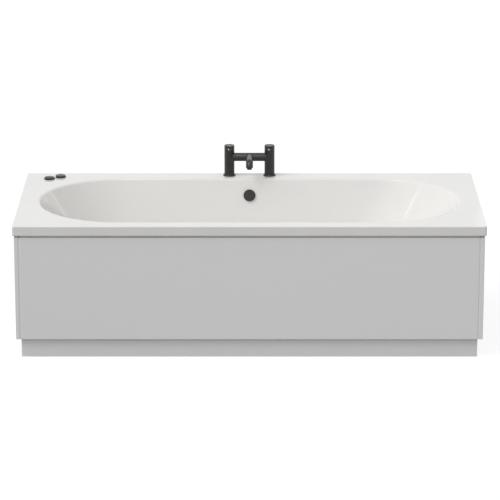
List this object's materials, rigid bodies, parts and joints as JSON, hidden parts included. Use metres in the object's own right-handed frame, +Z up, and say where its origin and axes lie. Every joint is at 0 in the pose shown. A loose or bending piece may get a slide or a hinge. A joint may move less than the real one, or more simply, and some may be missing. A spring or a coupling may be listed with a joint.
{
  "type": "jetted bathtub",
  "caption": "White double-ended rectangular jetted bath with plain panels and recessed plinth, black two-pillar filler, rim controls, swivel wall jets, pump and pipework.",
  "frame": {"origin": "centre of the bath's outline on the floor", "axes": "+X along the bath to the right seen from the front, front panel towards -Y, +Z up"},
  "size_m": [1.8, 0.8, 0.652],
  "materials": {
    "white_acrylic": "gloss",
    "panel_foil": "satin foil over board",
    "chipboard": "raw",
    "softwood": "planed",
    "zinc_steel": "zinc plated",
    "foot_plastic": "matte",
    "black_coated_brass": "matte black",
    "brass": "machined",
    "black_rubber": "matte",
    "white_fitting_plastic": "semi-gloss",
    "grey_pipe_plastic": "semi-matte",
    "black_plastic": "matte",
    "motor_aluminium": "cast"
  },
  "bodies": {
    "bath": {"air_control_body": "black_plastic", "air_fittings": "grey_pipe_plastic", "air_pipes": "grey_pipe_plastic", "base_board": "chipboard", "bath_shell": "white_acrylic", "button_bellows": "black_rubber", "button_body": "black_plastic", "control_box": "grey_pipe_plastic", "end_panels": "panel_foil", "foot_nuts": "zinc_steel", "foot_pads": "foot_plastic", "foot_studs": "zinc_steel", "frame_cross_bars": "zinc_steel", "frame_rails": "zinc_steel", "frame_uprights": "zinc_steel", "front_panel": "panel_foil", "jet_bodies": "white_fitting_plastic", "jet_faces": "black_plastic", "overflow_body": "white_fitting_plastic", "overflow_cover": "black_coated_brass", "overflow_pipe": "white_fitting_plastic", "panel_battens": "softwood", "panel_brackets": "zinc_steel", "plinth_boards": "panel_foil", "pneumatic_tube": "grey_pipe_plastic", "pump_base": "zinc_steel", "pump_fan_cover": "black_plastic", "pump_motor": "motor_aluminium", "pump_volute": "black_plastic", "rim_battens": "softwood", "rim_nuts": "brass", "rubber_gaskets": "black_rubber", "spout_aerator": "black_coated_brass", "suction_body": "white_fitting_plastic", "suction_grille": "black_plastic", "suction_hose": "black_rubber", "tap_body": "black_coated_brass", "tap_cartridges": "brass", "tap_spout": "black_coated_brass", "union_nuts": "grey_pipe_plastic", "waste_body": "white_fitting_plastic", "waste_flange": "black_coated_brass", "water_fittings": "white_fitting_plastic", "water_pipes": "white_fitting_plastic"},
    "hot_handle": {"hot_handle": "black_coated_brass"},
    "cold_handle": {"cold_handle": "black_coated_brass"},
    "plug": {"waste_plug": "black_coated_brass", "plug_seal": "black_rubber"},
    "button": {"button_cap": "black_plastic"},
    "air_knob": {"air_control_knob": "black_plastic"},
    "pump_rotor": {"pump_rotor": "black_plastic"},
    "nozzle_1": {"jet_nozzle_1": "black_plastic"},
    "nozzle_2": {"jet_nozzle_2": "black_plastic"},
    "nozzle_3": {"jet_nozzle_3": "black_plastic"},
    "nozzle_4": {"jet_nozzle_4": "black_plastic"},
    "nozzle_5": {"jet_nozzle_5": "black_plastic"},
    "nozzle_6": {"jet_nozzle_6": "black_plastic"},
    "nozzle_7": {"jet_nozzle_7": "black_plastic"},
    "nozzle_8": {"jet_nozzle_8": "black_plastic"}
  },
  "joints": [
    {"name": "hot_handle_turn", "type": "hinge", "parent": "bath", "child": "hot_handle", "pos_m": [-0.081, 0.364, 0.625], "axis": [0, 0, 1], "range_deg": [0, 90]},
    {"name": "cold_handle_turn", "type": "hinge", "parent": "bath", "child": "cold_handle", "pos_m": [0.081, 0.364, 0.625], "axis": [0, 0, 1], "range_deg": [-90, 0]},
    {"name": "plug_lift", "type": "slide", "parent": "bath", "child": "plug", "axis": [0, 0, 1], "range_m": [0, 0.009]},
    {"name": "button_press", "type": "slide", "parent": "bath", "child": "button", "axis": [0, 0, -1], "range_m": [0, 0.004], "stiffness_N_per_m": 600, "springref_m": -0.002, "deforming": ["button_bellows"]},
    {"name": "air_knob_turn", "type": "hinge", "parent": "bath", "child": "air_knob", "pos_m": [-0.762, 0.3345, 0.53], "axis": [0, 0, 1], "range_deg": [0, 180]},
    {"name": "pump_spin", "type": "hinge", "parent": "bath", "child": "pump_rotor", "pos_m": [-0.75, -0.1675, 0.15423], "axis": [0, 1, 0], "continuous": true},
    {"name": "nozzle_1_swivel", "type": "hinge", "parent": "bath", "child": "nozzle_1", "pos_m": [-0.3895, -0.27801, 0.31441], "axis": [0, -0.2648, 0.9643], "range_deg": [-15, 15]},
    {"name": "nozzle_2_swivel", "type": "hinge", "parent": "bath", "child": "nozzle_2", "pos_m": [-0.12983, -0.27801, 0.31441], "axis": [0, -0.2648, 0.9643], "range_deg": [-15, 15]},
    {"name": "nozzle_3_swivel", "type": "hinge", "parent": "bath", "child": "nozzle_3", "pos_m": [0.12983, -0.27801, 0.31441], "axis": [0, -0.2648, 0.9643], "range_deg": [-15, 15]},
    {"name": "nozzle_4_swivel", "type": "hinge", "parent": "bath", "child": "nozzle_4", "pos_m": [0.3895, -0.27801, 0.31441], "axis": [0, -0.2648, 0.9643], "range_deg": [-15, 15]},
    {"name": "nozzle_5_swivel", "type": "hinge", "parent": "bath", "child": "nozzle_5", "pos_m": [-0.3895, 0.255, 0.31441], "axis": [0, 0.2648, 0.9643], "range_deg": [-15, 15]},
    {"name": "nozzle_6_swivel", "type": "hinge", "parent": "bath", "child": "nozzle_6", "pos_m": [-0.12983, 0.255, 0.31441], "axis": [0, 0.2648, 0.9643], "range_deg": [-15, 15]},
    {"name": "nozzle_7_swivel", "type": "hinge", "parent": "bath", "child": "nozzle_7", "pos_m": [0.12983, 0.255, 0.31441], "axis": [0, 0.2648, 0.9643], "range_deg": [-15, 15]},
    {"name": "nozzle_8_swivel", "type": "hinge", "parent": "bath", "child": "nozzle_8", "pos_m": [0.3895, 0.255, 0.31441], "axis": [0, 0.2648, 0.9643], "range_deg": [-15, 15]}
  ]
}
